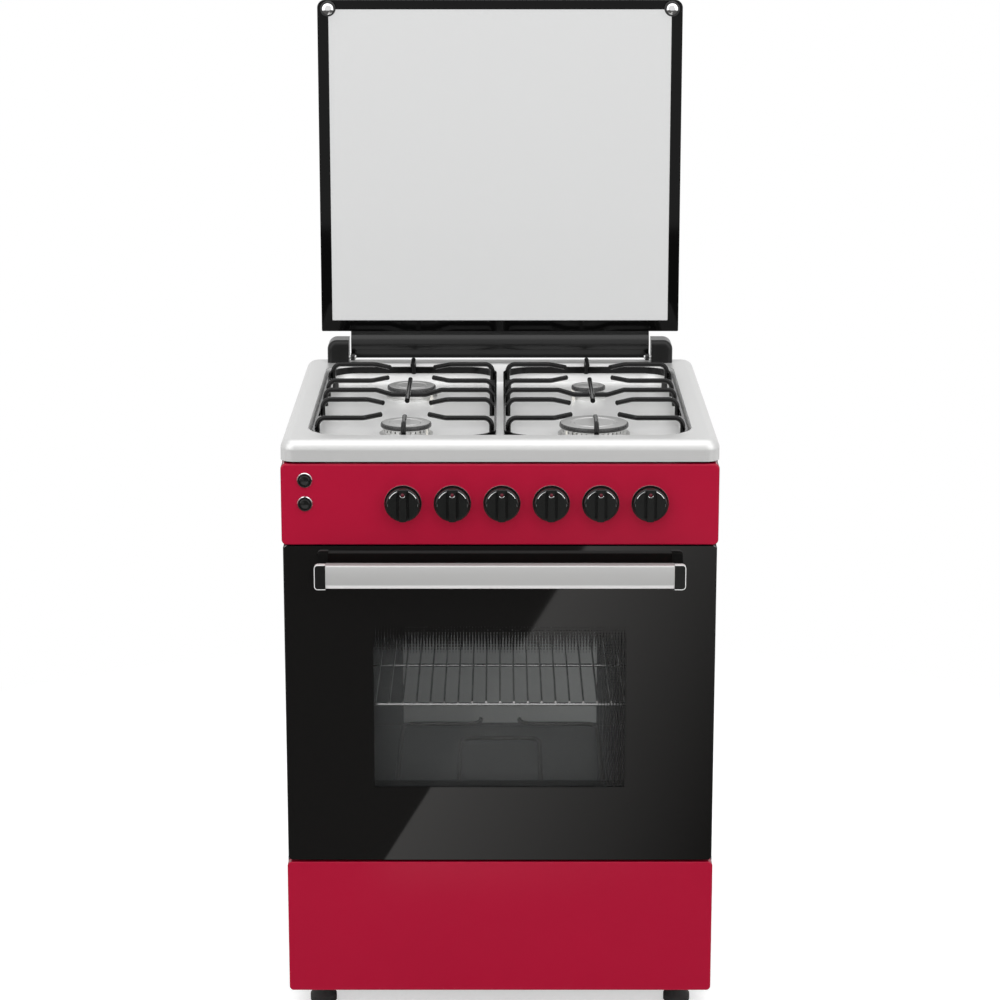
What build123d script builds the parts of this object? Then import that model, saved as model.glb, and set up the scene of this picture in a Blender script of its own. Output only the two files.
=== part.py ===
from build123d import *
import os
from math import atan, cos, degrees, pi, sin

# Sizes are in millimetres. X is the viewer's right, Z is up, and y counts backwards
# from the plane of the oven door. Every piece is moved by one amount when it is
# written, so that the origin lies on the floor under the middle of the cooker.

# Overall sizes
width = 600.0
depth = 600.0
hob_height = 840.0
handle_reach = 42.0
foot_height = 44.0

# Sheet and gaps
sheet = 1.2
thin_sheet = 1.0
shell = 1.5
running_fit = 0.06
seat_gap = 0.3
weld_gap = 0.05
panel_half = width / 2 - 0.5
panel_inner = panel_half - sheet
flange = 18.0

# Heights of the front: drawer, door, control panel
hob_edge = 30.0
skirt_bottom = hob_height - hob_edge
drawer_bottom = foot_height - 6
drawer_top = 231.8
door_bottom = drawer_top + 3.7
door_top = skirt_bottom - 118.5
fascia_bottom = door_top + 1.5
fascia_top = skirt_bottom - 3.2

# Body behind the front
frame_front = 38.0
frame_sheet = 1.5
frame_back = frame_front + frame_sheet
back_plane = depth - 31.5
back_out = back_plane + sheet
screw_radius = 2.0
screw_head = 4.0
foot_radius = 19.0
foot_stem = 9.0
foot_inset = 43.3
foot_front = 60.0
foot_rear = back_plane - 38.5
tray_lip = 16.0

# Oven
mouth_half = panel_inner - 83.3
mouth_bottom = door_bottom + 49.5
mouth_top = door_top - 91.5
cavity_back = back_plane - 114
rim = 12.0
wool = 20.0
guide_wire = 2.5
guide_inset = 25.0
guide_levels = 5
level_pitch = 52.0
shelf_wire = 2.5
rung_wire = 1.6
rung_count = 21
rung_pitch = mouth_half * 0.09116
shelf_height = mouth_bottom + 160
element_radius = 3.5
element_bend = 20.0
element_half = mouth_half - 65
element_gap = 30.0
element_inner = 60.0
top_element_z = mouth_top - 22
bottom_element_z = mouth_bottom + 10
lamp_radius = 20.0
lamp_x = -element_half
lamp_z = mouth_top - 55

# Oven door
door_half = panel_half - 1.5
glass = 4.0
glass_inset = 1.8
door_back = frame_front - 4
hinge_y = 12.0
hinge_z = door_bottom + 22.5
hinge_pin = 4.0
hinge_eye = 7.0
tongue_x = door_half - 36
tongue_width = 6.0
notch_width = 10.0
wall = 12.0
window_half = mouth_half - 37
window_bottom = mouth_bottom + 57
window_top = mouth_top - 22
handle_half = door_half - 46
handle_top = door_top - 17
handle_bottom = handle_top - 33.1
handle_end = 14.5
bar_depth = 16.0

# Drawer
drawer_front_depth = 18.0
box_half = panel_inner - 36.3
box_bottom = foot_height + 14
box_rim = drawer_top - 41.8
box_back = back_plane - 88.5
lip_half = panel_inner - 8.3
lip_front = 60.0
rail_end = back_plane - 58.5

# Hob and its well
hob_corner = 20.0
hob_round = 14.0
well_half = width / 2 - 34
well_front = 34.0
grid_front = 42.0
well_back = depth - 46
well_depth = 28.0
well_slope = 6.0
well_corner = 52.0
well_floor = hob_height - well_depth
burner_x = well_half / 2
well_middle = (well_front + well_back) / 2
row_spread = (well_back - grid_front) * 0.26075
row_middle = (grid_front + well_back) / 2
front_row = row_middle - row_spread
rear_row = row_middle + row_spread

# Burners: name, x, y, cap radius
burners = [
    ("front_left", -burner_x, front_row, 36.0),
    ("rear_left", -burner_x, rear_row, 36.5),
    ("front_right", burner_x, front_row, 49.0),
    ("rear_right", burner_x, rear_row, 25.5),
]
cup_drop = 30.0
collar_height = 3.0
crown_height = 9.0
cap_height = 6.3
port_pitch = 8.0
probe_offset = 7.0
probe_radius = 2.5
probe_drop = 16.0

# Pan supports
rod = 3.5
rod_height = 9.7
bar_z = hob_height + rod_height
strip = 3.0
strip_tall = 10.0
strip_bottom = hob_height - 14.0
support_margin = 5.0
finger_spread = row_spread * 0.4794
finger_reach = 34.0
finger_aside = 40.0
finger_bend = 57.0
leg_bend = 11.0
end_reach = 55.0
cross_dip = 48.0
pad_radius = 4.5

# Control panel
knob_z = fascia_bottom + 59
knob_pitch = width * 0.1125
knob_first = -knob_pitch * 1.963
knob_radius = 23.5
knob_back = -5.5
knob_front = -18.0
knob_shoulder = 4.5
grip_half = 5.0
bezel_radius = 26.0
bezel_proud = 3.0
spindle = 3.0
spindle_tip = knob_front + 5
shaft_end = frame_back + 20
push_travel = 4.0
button_x = -(panel_half - 33)
button_heights = (knob_z - 1, knob_z + 32)
button_radius = 7.5
button_ring = 10.7
button_front = -4.0
button_tail = 14.0
button_travel = 3.0
switch_half = 21.0
switch_depth = 38.0

# Gas
rail_y = frame_back + 18.5
rail_z = knob_z - 32
rail_radius = 8.0
rail_bend = 30.0
rail_right = panel_inner - 30.3
tap_depth = 32.0
tap_half = 11.0
pipe_radius = 4.0
pipe_z = knob_z - 2
inlet_radius = 10.48
nut_depth = 8.0
thread_length = 15.0

# Electrics
generator_x = (-60.0, 0.0)
generator_depth = 28.0
generator_tall = 36.0
terminal_width = 80.0
terminal_depth = 26.0
terminal_tall = 60.0

# Lid
lid_half = width / 2 - 24
lid_bottom = hob_height + 47
lid_top = lid_bottom + 507
lid_pivot_y = depth - 34
lid_pivot_z = hob_height + 8
lid_setback = 8.0
lid_face = lid_pivot_y + lid_setback
lid_corner = 12.0
lid_low_corner = 2.0
rail_proud = 1.5
rail_bulge = 12.5
rail_depth = 12.0
rail_lap = 14.0
rail_above_hob = 3.0
block_round = 14.0
rail_half = lid_half - 45
block_inner = rail_half + 3
block_outer = block_inner + 33
block_front = lid_pivot_y - 9
block_back = depth - 3
block_top = hob_height + 35
lid_pin = 3.0
lid_eye = 5.5
bumper_x = lid_half - 16.6
bumper_z = lid_top - 13
bumper_radius = 11.4
bumper_dome = 9.0
closed_gap = 0.3

shift = Pos(0, -(depth - handle_reach) / 2, 0)


def block(x, y, z):
    """A box between two corners, each range given as (low, high)."""
    size = [high - low for low, high in (x, y, z)]
    middle = [(high + low) / 2 for low, high in (x, y, z)]
    return Pos(*middle) * Box(*size)


def rod_x(x, y, z, radius):
    """A round bar along X from x[0] to x[1]."""
    return Pos((x[0] + x[1]) / 2, y, z) * Rot(0, 90, 0) * Cylinder(radius, x[1] - x[0])


def rod_y(x, y, z, radius):
    """A round bar along Y from y[0] to y[1]."""
    return Pos(x, (y[0] + y[1]) / 2, z) * Rot(90, 0, 0) * Cylinder(radius, y[1] - y[0])


def rod_z(x, y, z, radius):
    """A round bar along Z from z[0] to z[1]."""
    return Pos(x, y, (z[0] + z[1]) / 2) * Cylinder(radius, z[1] - z[0])


def tube(points, radius, bend):
    """A round bar along a path whose corners are bent to one radius."""
    path = FilletPolyline(*points, radius=bend)
    return sweep(Plane(origin=path @ 0, z_dir=path % 0) * Circle(radius), path=path)


def other_side(shape):
    return mirror(shape, about=Plane.YZ)


def both_sides(shape):
    return [shape, other_side(shape)]


def fused(shapes):
    first, *rest = shapes
    return first.fuse(*rest)


def rounded_plate(x, z, y, radius):
    """An upright plate with rounded corners."""
    middle = ((x[0] + x[1]) / 2, y[1], (z[0] + z[1]) / 2)
    face = Plane(origin=middle, x_dir=(1, 0, 0), z_dir=(0, -1, 0))
    return extrude(face * RectangleRounded(x[1] - x[0], z[1] - z[0], radius), amount=y[1] - y[0])


# Body


def side_panel():
    plate = block((panel_inner, panel_half), (frame_front, back_out), (foot_height - 4, skirt_bottom))
    toe = block((panel_inner, panel_half), (drawer_front_depth + 2, frame_front),
                (foot_height - 4, drawer_top + 1))
    edge = (panel_inner - flange, panel_inner)
    front = block(edge, (frame_back, frame_back + sheet), (door_bottom, skirt_bottom))
    rear = block(edge, (back_plane - sheet, back_plane), (foot_height + tray_lip, skirt_bottom))
    top = block(edge, (frame_back, back_plane), (skirt_bottom - sheet, skirt_bottom))
    panel = fused([plate, toe, front, rear, top])
    return panel - [screw_hole(1, z) for z in screw_heights()]


def screw_hole(side, z):
    x = side * (panel_inner - flange / 2)
    return rod_y(x, (back_plane - 2 * sheet, back_out + sheet), z, screw_radius + seat_gap)


def screw_heights():
    low = foot_height + 2 * flange
    high = skirt_bottom - 2 * flange
    return [low + (high - low) * i / 3 for i in range(4)]


def back_panel():
    plate = block((-panel_inner, panel_inner), (back_plane, back_out),
                  (foot_height + tray_lip, skirt_bottom))
    slots = [block((x - 30, x + 30), (back_plane - 1, back_out + 1), (z - 3, z + 3))
             for x in (-100, 0, 100) for z in [mouth_bottom + 75 + 20 * i for i in range(5)]]
    holes = [screw_hole(side, z) for side in (-1, 1) for z in screw_heights()]
    pipe_hole = rod_y(rail_right, (back_plane - 1, back_out + 1), rail_z, rail_radius + seat_gap)
    return plate - slots - holes - pipe_hole


def back_screws():
    screws = []
    for side in (-1, 1):
        for z in screw_heights():
            x = side * (panel_inner - flange / 2)
            head = rod_y(x, (back_out, back_out + screw_radius), z, screw_head)
            shank = rod_y(x, (back_plane - 2 * screw_head, back_out), z, screw_radius)
            screws.append(head + shank)
    return screws


def base_tray():
    low = foot_height
    tray = block((-panel_inner, panel_inner), (drawer_front_depth + 2, back_plane), (low, low + sheet))
    rear = block((-panel_inner, panel_inner), (back_plane - sheet, back_plane), (low, low + tray_lip))
    return tray + rear


def front_frame():
    plate = block((-panel_inner, panel_inner), (frame_front, frame_back), (drawer_top + 2, skirt_bottom))
    through = (frame_front - 1, frame_back + 1)
    mouth = block((-mouth_half, mouth_half), through, (mouth_bottom, mouth_top))
    tongue = block((tongue_x - tongue_width / 2, tongue_x + tongue_width / 2), through,
                   (hinge_z - hinge_eye + 1, hinge_z + hinge_eye - 1))
    shafts = [rod_y(x, through, knob_z, 3 * spindle) for x in knob_places()]
    return plate - mouth - both_sides(tongue) - shafts


def feet():
    neck = foot_radius - foot_stem
    profile = Polyline((0, 0), (foot_radius, 0), (foot_radius, foot_stem),
                       (foot_radius - 0.7 * neck, 2 * neck), (foot_stem, 2.2 * neck), (foot_stem, foot_height), (0, foot_height), close=True)
    foot = revolve(Plane.XZ * make_face(profile), axis=Axis.Z)
    place = panel_inner - foot_inset
    return [Pos(x, y, 0) * foot for x in (-place, place) for y in (foot_front, foot_rear)]


# Oven


def oven_cavity():
    outer = block((-mouth_half - thin_sheet, mouth_half + thin_sheet), (frame_back, cavity_back + thin_sheet),
                  (mouth_bottom - thin_sheet, mouth_top + thin_sheet))
    edge = block((-mouth_half - rim, mouth_half + rim), (frame_back, frame_back + thin_sheet),
                 (mouth_bottom - rim, mouth_top + rim))
    inner = block((-mouth_half, mouth_half), (frame_back - 1, cavity_back), (mouth_bottom, mouth_top))
    back = (cavity_back - 1, cavity_back + thin_sheet + 1)
    holes = [rod_y(x, back, z, element_radius + seat_gap)
             for x in (-element_gap, element_gap) for z in (top_element_z, bottom_element_z)]
    lamp_hole = rod_y(lamp_x, back, lamp_z, lamp_radius - 3)
    return outer + edge - inner - holes - lamp_hole


def cavity_insulation():
    gap = thin_sheet
    outer = block((-mouth_half - wool, mouth_half + wool), (frame_back + 3, cavity_back + wool),
                  (mouth_bottom - wool, mouth_top + wool))
    inner = block((-mouth_half - gap, mouth_half + gap), (frame_back, cavity_back + gap),
                  (mouth_bottom - gap, mouth_top + gap))
    back = (cavity_back, cavity_back + wool + 1)
    around = element_gap + 4 * element_radius
    terminals = [block((-around, around), back, (z - around / 3, z + around / 3))
                 for z in (top_element_z, bottom_element_z)]
    lamp = rod_y(lamp_x, back, lamp_z, lamp_radius)
    return outer - inner - terminals - lamp


def heating_element(z, reach):
    rear = cavity_back + thin_sheet + rim
    turn = cavity_back - element_bend - 2
    left = [(-element_gap, rear, z), (-element_gap, turn, z), (-element_half, turn, z),
            (-element_half, reach, z), (-element_inner, reach, z),
            (-element_inner, turn - 3.5 * element_bend, z)]
    right = [(-x, y, z) for x, y, z in reversed(left)]
    return tube(left + right, element_radius, element_bend)


def oven_lamp():
    cup = rod_y(lamp_x, (cavity_back + thin_sheet, cavity_back + wool + 8), lamp_z, lamp_radius - 2)
    neck = rod_y(lamp_x, (cavity_back, cavity_back + thin_sheet), lamp_z, lamp_radius - 3)
    return cup + neck


def lamp_lens():
    disc = rod_y(lamp_x, (cavity_back - 7, cavity_back), lamp_z, lamp_radius)
    return fillet(disc.edges().sort_by(Axis.Y)[0], 5)


def shelf_guides():
    side = mouth_half - guide_wire
    runner = side - 2 * guide_wire + 0.5
    front, rear = frame_back + 30, cavity_back - 15
    wires = [rod_z(side, y, (mouth_bottom + guide_inset, mouth_top - guide_inset), guide_wire)
             for y in (front + 40, rear - 40)]
    for level in range(guide_levels):
        z = shelf_height + (level - guide_levels // 2) * level_pitch
        for step in (0, 2 * (guide_wire + shelf_wire) + rung_wire):
            under = z - guide_wire - shelf_wire + seat_gap + step
            wires.append(rod_y(runner, (front, rear), under, guide_wire))
    return both_sides(fused(wires))


def wire_shelf():
    half = mouth_half - 3 * guide_wire - shell
    front, rear = frame_back + 22, cavity_back - 14
    frame = [rod_y(side * half, (front - 3, rear + 3), shelf_height, shelf_wire) for side in (-1, 1)]
    frame += [rod_x((-half, half), y, shelf_height, shelf_wire) for y in (front, rear, (front + rear) / 2)]
    raised = shelf_height + shelf_wire + rung_wire - 0.5
    first = -rung_pitch * (rung_count - 1) / 2
    rungs = [rod_y(first + i * rung_pitch, (front - 2, rear + 2), raised, rung_wire)
             for i in range(rung_count)]
    return fused(frame + rungs)


def door_seal():
    out = 0.8 * rim
    band = 5.0
    inside = out - band
    section = (door_back + seat_gap, frame_front)
    outer = rounded_plate((-mouth_half - out, mouth_half + out), (mouth_bottom - out, mouth_top + out),
                          section, 18)
    inner = rounded_plate((-mouth_half - inside, mouth_half + inside),
                          (mouth_bottom - inside, mouth_top + inside),
                          (section[0] - 1, section[1] + 1), 18 - band)
    return outer - inner


# Oven door


def door_glass_outer():
    side = door_half - glass_inset
    return rounded_plate((-side, side), (door_bottom, door_top), (0, glass), 4)


def door_frame():
    side = door_half
    top = door_top - 3
    low = hinge_z - hinge_eye - 3
    back_plate = door_back - 2.5
    depths = (glass, back_plate)
    cut = (glass - 1, back_plate)
    edge = wall + seat_gap
    body = block((-side, side), (glass, door_back), (low, top))
    lip = block((-side, side), (glass, 2.5 * glass), (door_bottom + 2, low))
    hollow = block((-side + wall, side - wall), cut, (low + wall, top - wall))
    surround = block((-window_half - edge - 2.7, window_half + edge + 2.7), depths,
                     (window_bottom - edge - 2.7, window_top + edge + 2.7))
    inside = block((-window_half - edge, window_half + edge), cut, (window_bottom - edge, window_top + edge))
    window = block((-window_half, window_half), (glass - 1, door_back + 1), (window_bottom, window_top))
    corner = block((tongue_x - notch_width - 7, side - wall), depths, (low, hinge_z + 2 * hinge_eye + 3))
    notch = block((tongue_x - notch_width / 2, tongue_x + notch_width / 2), (glass + 0.001, door_back + 1),
                  (door_bottom, hinge_z + hinge_eye + 2 * seat_gap))
    pin_hole = rod_x(pin_span(), hinge_y, hinge_z, hinge_pin + 0.02)
    tray = body + lip - hollow
    frame = fused([tray, surround - inside] + both_sides(corner))
    return frame - window - both_sides(notch) - both_sides(pin_hole)


def pin_span():
    return tongue_x - notch_width / 2 - 7, tongue_x + notch_width / 2 + 8


def door_glass_inner():
    return rounded_plate((-window_half - wall, window_half + wall),
                         (window_bottom - wall, window_top + wall), (door_back - 2.5 - glass, door_back - 2.5), glass)


def door_hinge_pins():
    return both_sides(rod_x(pin_span(), hinge_y, hinge_z, hinge_pin))


def door_hinge_brackets():
    x = (tongue_x - tongue_width / 2, tongue_x + tongue_width / 2)
    eye = rod_x(x, hinge_y, hinge_z, hinge_eye)
    rear = frame_back + 30
    tongue = block(x, (hinge_y, rear), (hinge_z - hinge_eye + 1.1, hinge_z + hinge_eye - 1.1))
    foot = block(x, (frame_back, rear), (hinge_z - 3 * hinge_eye + 1, hinge_z + 6 * hinge_eye - 2))
    bore = rod_x((x[0] - 1, x[1] + 1), hinge_y, hinge_z, hinge_pin + running_fit)
    return both_sides(fused([eye, tongue, foot]) - bore)


def door_handle():
    inner = handle_half - handle_end
    front = -handle_reach
    profile = Polyline((front + 3, handle_bottom), (front, handle_bottom + 6), (front, handle_top - 2),
                       (front + 2, handle_top), (front + bar_depth, handle_top),
                       (front + bar_depth, handle_bottom), close=True)
    return extrude(Plane.YZ * make_face(profile), amount=inner, both=True)


def door_handle_ends():
    """End caps as tall as the bar in front, with tops that slope down to the glass."""
    bar_back = -handle_reach + bar_depth
    profile = Polyline((-handle_reach, handle_bottom), (-handle_reach, handle_top), (bar_back, handle_top),
                       (0, handle_top - handle_end), (0, handle_bottom), close=True)
    end = Pos(handle_half - handle_end, 0, 0) * extrude(Plane.YZ * make_face(profile), amount=handle_end)
    corners = end.edges().filter_by(Axis.Y).group_by(Axis.X)[-1]
    return both_sides(fillet(corners, 4))


# Drawer


def drawer_front():
    x, z = (-panel_half, panel_half), (drawer_bottom, drawer_top)
    face = rounded_plate(x, z, (0, drawer_front_depth), 6)
    face = fillet(face.edges().group_by(Axis.Y)[0], 1.5)
    hollow = block((x[0] + shell, x[1] - shell), (shell, drawer_front_depth + 1),
                   (z[0] + shell, z[1] - shell))
    back = block((-box_half, box_half), (drawer_front_depth - shell, drawer_front_depth),
                 (z[0] + shell, box_rim))
    return fused([face - hollow, back])


def drawer_box():
    outer = block((-box_half, box_half), (drawer_front_depth, box_back), (box_bottom, box_rim))
    inner = block((-box_half + shell, box_half - shell), (drawer_front_depth + shell, box_back - shell),
                  (box_bottom + shell, box_rim + 1))
    lip = block((box_half, lip_half), (lip_front, box_back), (box_rim - shell, box_rim))
    return fused([outer - inner] + both_sides(lip))


def drawer_rails():
    y = (frame_back + 3, rail_end)
    ledge = (box_half + 6, panel_inner)
    under = box_rim - shell - seat_gap
    over = box_rim + seat_gap
    lower = block(ledge, y, (under - shell, under))
    upper = block(ledge, y, (over, over + shell))
    web = block((panel_inner - shell, panel_inner), y, (under - flange, over + flange))
    return both_sides(fused([lower, upper, web]))


# Hob


def well_shape(grow):
    """The hollow of the well, or its outside when grow is the sheet's thickness."""
    along = well_back - well_front
    top = Pos(0, well_middle, hob_height) * RectangleRounded(2 * well_half + 2 * grow, along + 2 * grow,
                                                        well_corner + grow)
    slope = degrees(atan(well_slope / well_depth))
    return extrude(top, amount=-(well_depth + grow), taper=slope)


def hob_skin(inset, low, high):
    outline = Pos(0, depth / 2, low) * RectangleRounded(width - 2 * inset, depth - 2 * inset,
                                                        hob_corner - inset)
    skin = extrude(outline, amount=high - low)
    return fillet(skin.faces().sort_by(Axis.Z)[-1].edges(), hob_round - inset)


def hob_top():
    hob = hob_skin(0, skirt_bottom, hob_height) - hob_skin(sheet, skirt_bottom - 1, hob_height - sheet)
    hob = hob + (well_shape(sheet) & block((-width, width), (0, depth), (0, hob_height - sheet / 2)))
    hob = hob - well_shape(0)
    through = (well_floor - 5, well_floor + 1)
    for name, x, y, radius in burners:
        hob = hob - rod_z(x, y, through, radius - 4)
        for place in probe_places(x, y, radius):
            hob = hob - rod_z(*place, through, probe_radius + running_fit)
    return hob


def burner_cups():
    cups = []
    for name, x, y, radius in burners:
        collar = rod_z(x, y, (well_floor, well_floor + collar_height), radius + 2)
        cup = rod_z(x, y, (well_floor - cup_drop, well_floor), radius - 4 - running_fit)
        hollow = rod_z(x, y, (well_floor - cup_drop + 4, well_floor + collar_height + 1), radius - 9)
        cups.append(collar + cup - hollow)
    return cups


def burner_crowns():
    crowns = []
    low = well_floor + collar_height
    for name, x, y, radius in burners:
        ring = rod_z(x, y, (low, low + crown_height), radius - 3)
        hollow = rod_z(x, y, (low - 1, low + crown_height - 2), radius - 8)
        count = int(2 * pi * radius / port_pitch)
        top = low + crown_height
        ports = [Pos(x, y, 0) * Rot(0, 0, 360 * i / count)
                 * block((radius - 7, radius), (-1, 1), (top - 5, top - 1.5)) for i in range(count)]
        crowns.append(ring - hollow - ports)
    return crowns


def burner_caps():
    caps = []
    low = well_floor + collar_height + crown_height
    for name, x, y, radius in burners:
        cap = rod_z(x, y, (low, low + cap_height), radius)
        top = low + cap_height
        cap = fillet(cap.edges().sort_by(Axis.Z)[-1], 2)
        groove = rod_z(x, y, (top - 1.2, top + 1), radius * 0.66) - rod_z(x, y, (top - 3, top + 2),
                                                                        radius * 0.6)
        caps.append(cap - groove)
    return caps


def probe_places(x, y, radius):
    """Where the spark electrode and the flame sensor stand beside a burner."""
    reach = radius + probe_offset
    inward = 1 if x < 0 else -1
    return [(x + inward * reach * cos(pi / 4), y + reach * sin(pi / 4)),
            (x + inward * reach * cos(pi / 4), y - reach * sin(pi / 4))]


def spark_electrodes():
    pins = []
    for name, x, y, radius in burners:
        px, py = probe_places(x, y, radius)[0]
        ceramic = rod_z(px, py, (well_floor - probe_drop, well_floor + crown_height), probe_radius)
        tip = rod_z(px, py, (well_floor + crown_height, well_floor + crown_height + 4), 1)
        pins.append(ceramic + tip)
    return pins


def flame_sensors():
    pins = []
    for name, x, y, radius in burners:
        px, py = probe_places(x, y, radius)[1]
        sheath = rod_z(px, py, (well_floor - probe_drop, well_floor + 6), probe_radius)
        tip = rod_z(px, py, (well_floor + 6, well_floor + crown_height + 5), 1.5)
        pins.append(sheath + tip)
    return pins


# Pan supports


def support_edges():
    """The right-hand support's low and high x, then its low and high y."""
    return (support_margin, well_half - support_margin,
            grid_front + support_margin, well_back - support_margin)


def support_frame():
    """The strip of steel bent round the right-hand support's edge."""
    inner, outer, front, rear = support_edges()
    middle = Pos((outer + inner) / 2, (front + rear) / 2, strip_bottom)
    corner = well_corner - support_margin
    ring = extrude(middle * RectangleRounded(outer - inner, rear - front, corner), amount=strip_tall)
    hole = extrude(middle * RectangleRounded(outer - inner - 2 * strip, rear - front - 2 * strip,
                                             corner - strip), amount=strip_tall)
    return ring - hole


def support_bars():
    """The bent round bars, each a weld's small gap inside the strip."""
    inner, outer, front, rear = support_edges()
    near = strip + rod + weld_gap
    legs = (inner + near, outer - near)
    bars = [tube(points, rod, leg_bend) for points in finger_paths(legs)]
    bars.append(tube(middle_bar_path(legs), rod, 9))
    along = front_row + end_reach, rear_row - end_reach
    bars.append(rod_y(burner_x, along, bar_z, rod))
    for end, row, side in ((front, front_row, 1), (rear, rear_row, -1)):
        start = end + side * near
        bars.append(tube([(burner_x, start, strip_bottom), (burner_x, start, bar_z),
                          (burner_x, row - side * end_reach, bar_z)], rod, leg_bend))
    return bars


def finger_paths(legs):
    paths = []
    for row in (front_row, rear_row):
        for side in (-1, 1):
            for leg, turn in ((legs[0], -1), (legs[1], 1)):
                y = row + side * finger_spread
                paths.append([(leg, y, strip_bottom), (leg, y, bar_z),
                              (burner_x + turn * finger_bend, y, bar_z),
                              (burner_x + turn * finger_reach, row + side * finger_aside, bar_z)])
    return paths


def middle_bar_path(legs):
    dip = bar_z - 2 * rod - weld_gap
    y = row_middle
    return [(legs[0], y, strip_bottom), (legs[0], y, bar_z), (burner_x - cross_dip, y, bar_z),
            (burner_x - cross_dip / 2, y, dip), (burner_x + cross_dip / 2, y, dip),
            (burner_x + cross_dip, y, bar_z),
            (legs[1], y, bar_z), (legs[1], y, strip_bottom)]


def pan_support_pads():
    near = support_margin + strip + pad_radius
    rows = (front_row - finger_spread, rear_row + finger_spread)
    return [rod_z(x, y, (well_floor, strip_bottom), pad_radius)
            for x in (near, well_half - near - pad_radius / 2) for y in rows]


# Control panel


def knob_places():
    return [knob_first + i * knob_pitch for i in range(6)]


def fascia_panel():
    z = (fascia_bottom, fascia_top)
    face = rounded_plate((-panel_half, panel_half), z, (0, frame_front), 7)
    face = fillet(face.edges().group_by(Axis.Y)[0], 2.5)
    hollow = block((-panel_half + shell, panel_half - shell), (shell, frame_front + 1),
                   (z[0] + shell, z[1] - shell))
    shafts = [rod_y(x, (-1, 2 * shell), knob_z, spindle + 2) for x in knob_places()]
    buttons = [rod_y(button_x, (-1, 2 * shell), z, button_radius + seat_gap) for z in button_heights]
    return face - hollow - shafts - buttons


def ring(x, z, outer, inner, proud):
    disc = rod_y(x, (-proud, 0), z, outer)
    disc = fillet(disc.edges().sort_by(Axis.Y)[0], 1)
    return disc - rod_y(x, (-proud - 1, 1), z, inner)


def knob_bezels():
    return [ring(x, knob_z, bezel_radius, knob_radius + 0.7, bezel_proud) for x in knob_places()]


def button_bezels():
    return [ring(button_x, z, button_ring, button_radius + seat_gap, 2.5) for z in button_heights]


def knob_body(x):
    """A round knob with a raised grip bar between two grooves."""
    shoulder = knob_front + knob_shoulder
    disc = rod_y(x, (shoulder, knob_back), knob_z, knob_radius)
    disc = fillet(disc.edges().sort_by(Axis.Y)[0], 2.5)
    bar = block((x - grip_half, x + grip_half), (knob_front, knob_back - 2),
                (knob_z - knob_radius, knob_z + knob_radius))
    bar = bar & rod_y(x, (knob_front, knob_back), knob_z, knob_radius - 0.5)
    bar = fillet(bar.edges().group_by(Axis.Y)[0], 1.2)
    grooves = [block((x + side * 1.36 * grip_half - 1.8, x + side * 1.36 * grip_half + 1.8),
                     (shoulder - 1, shoulder + knob_shoulder),
                     (knob_z - 0.77 * knob_radius, knob_z + 0.77 * knob_radius)) for side in (-1, 1)]
    return disc - grooves + bar


def gas_knob(x):
    bore = rod_y(x, (spindle_tip - 0.5, knob_back + 1), knob_z, spindle + running_fit)
    return knob_body(x) - bore


def oven_knob(x):
    return knob_body(x) + rod_y(x, (knob_back - 1, shaft_end), knob_z, spindle)


def tap_spindle(x):
    return rod_y(x, (spindle_tip, shaft_end), knob_z, spindle)


def gas_taps():
    taps = []
    for x in knob_places()[2:]:
        body = block((x - tap_half, x + tap_half), (frame_back, frame_back + tap_depth),
                     (rail_z + rail_radius - 2, knob_z + tap_half + 2))
        bore = rod_y(x, (frame_back - 1, shaft_end + push_travel + 1), knob_z, spindle + running_fit)
        seat = rod_x((x - 2 * tap_half, x + 2 * tap_half), rail_y, rail_z, rail_radius)
        taps.append(body - bore - seat)
    return taps


def gas_rail():
    start = knob_places()[2] - 2 * tap_half
    return tube([(start, rail_y, rail_z), (rail_right, rail_y, rail_z),
                 (rail_right, back_out + rail_radius - 2, rail_z)], rail_radius, rail_bend)


def gas_pipes():
    order = ("front_left", "rear_left", "front_right", "rear_right")
    places = {name: (x, y) for name, x, y, radius in burners}
    start = frame_back + tap_depth
    pipes = []
    for x, name in zip(knob_places()[2:], order):
        bx, by = places[name]
        pipes.append(tube([(x, start, pipe_z), (x, start + 2 * tap_half, pipe_z), (bx, by, pipe_z),
                           (bx, by, well_floor - cup_drop)], pipe_radius, 12))
    return pipes


def gas_inlet():
    y = back_out + rail_radius - 2
    face = Plane(origin=(rail_right, y, rail_z), x_dir=(1, 0, 0), z_dir=(0, 1, 0))
    nut = extrude(face * RegularPolygon(inlet_radius + 3.5, 6), amount=nut_depth)
    return nut + rod_y(rail_right, (y + nut_depth, y + nut_depth + thread_length), rail_z, inlet_radius)


def oven_switches():
    bodies = []
    for x in knob_places()[:2]:
        case = block((x - switch_half, x + switch_half), (frame_back, frame_back + switch_depth),
                     (knob_z - switch_half - 3, knob_z + switch_half + 3))
        bore = rod_y(x, (frame_back - 1, shaft_end + 2), knob_z, spindle + running_fit)
        bodies.append(case - bore)
    return bodies


def button_switches():
    low = button_tail + button_travel + seat_gap
    half = button_radius + 0.5
    return [block((button_x - half, button_x + half), (low, frame_front), (z - half, z + half))
            for z in button_heights]


def push_button(z):
    cap = rod_y(button_x, (button_front, button_tail), z, button_radius)
    return fillet(cap.edges().sort_by(Axis.Y)[0], 1.5)


def spark_generator():
    low = rail_z - 40
    return block(generator_x, (back_plane - generator_depth, back_plane), (low, low + generator_tall))


def terminal_box():
    outer = -(panel_inner - 38.3)
    low = rail_z - 80
    box = block((outer, outer + terminal_width), (back_out, back_out + terminal_depth),
                (low, low + terminal_tall))
    return fillet(box.edges().filter_by(Axis.Y), 4)


# Lid


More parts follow.
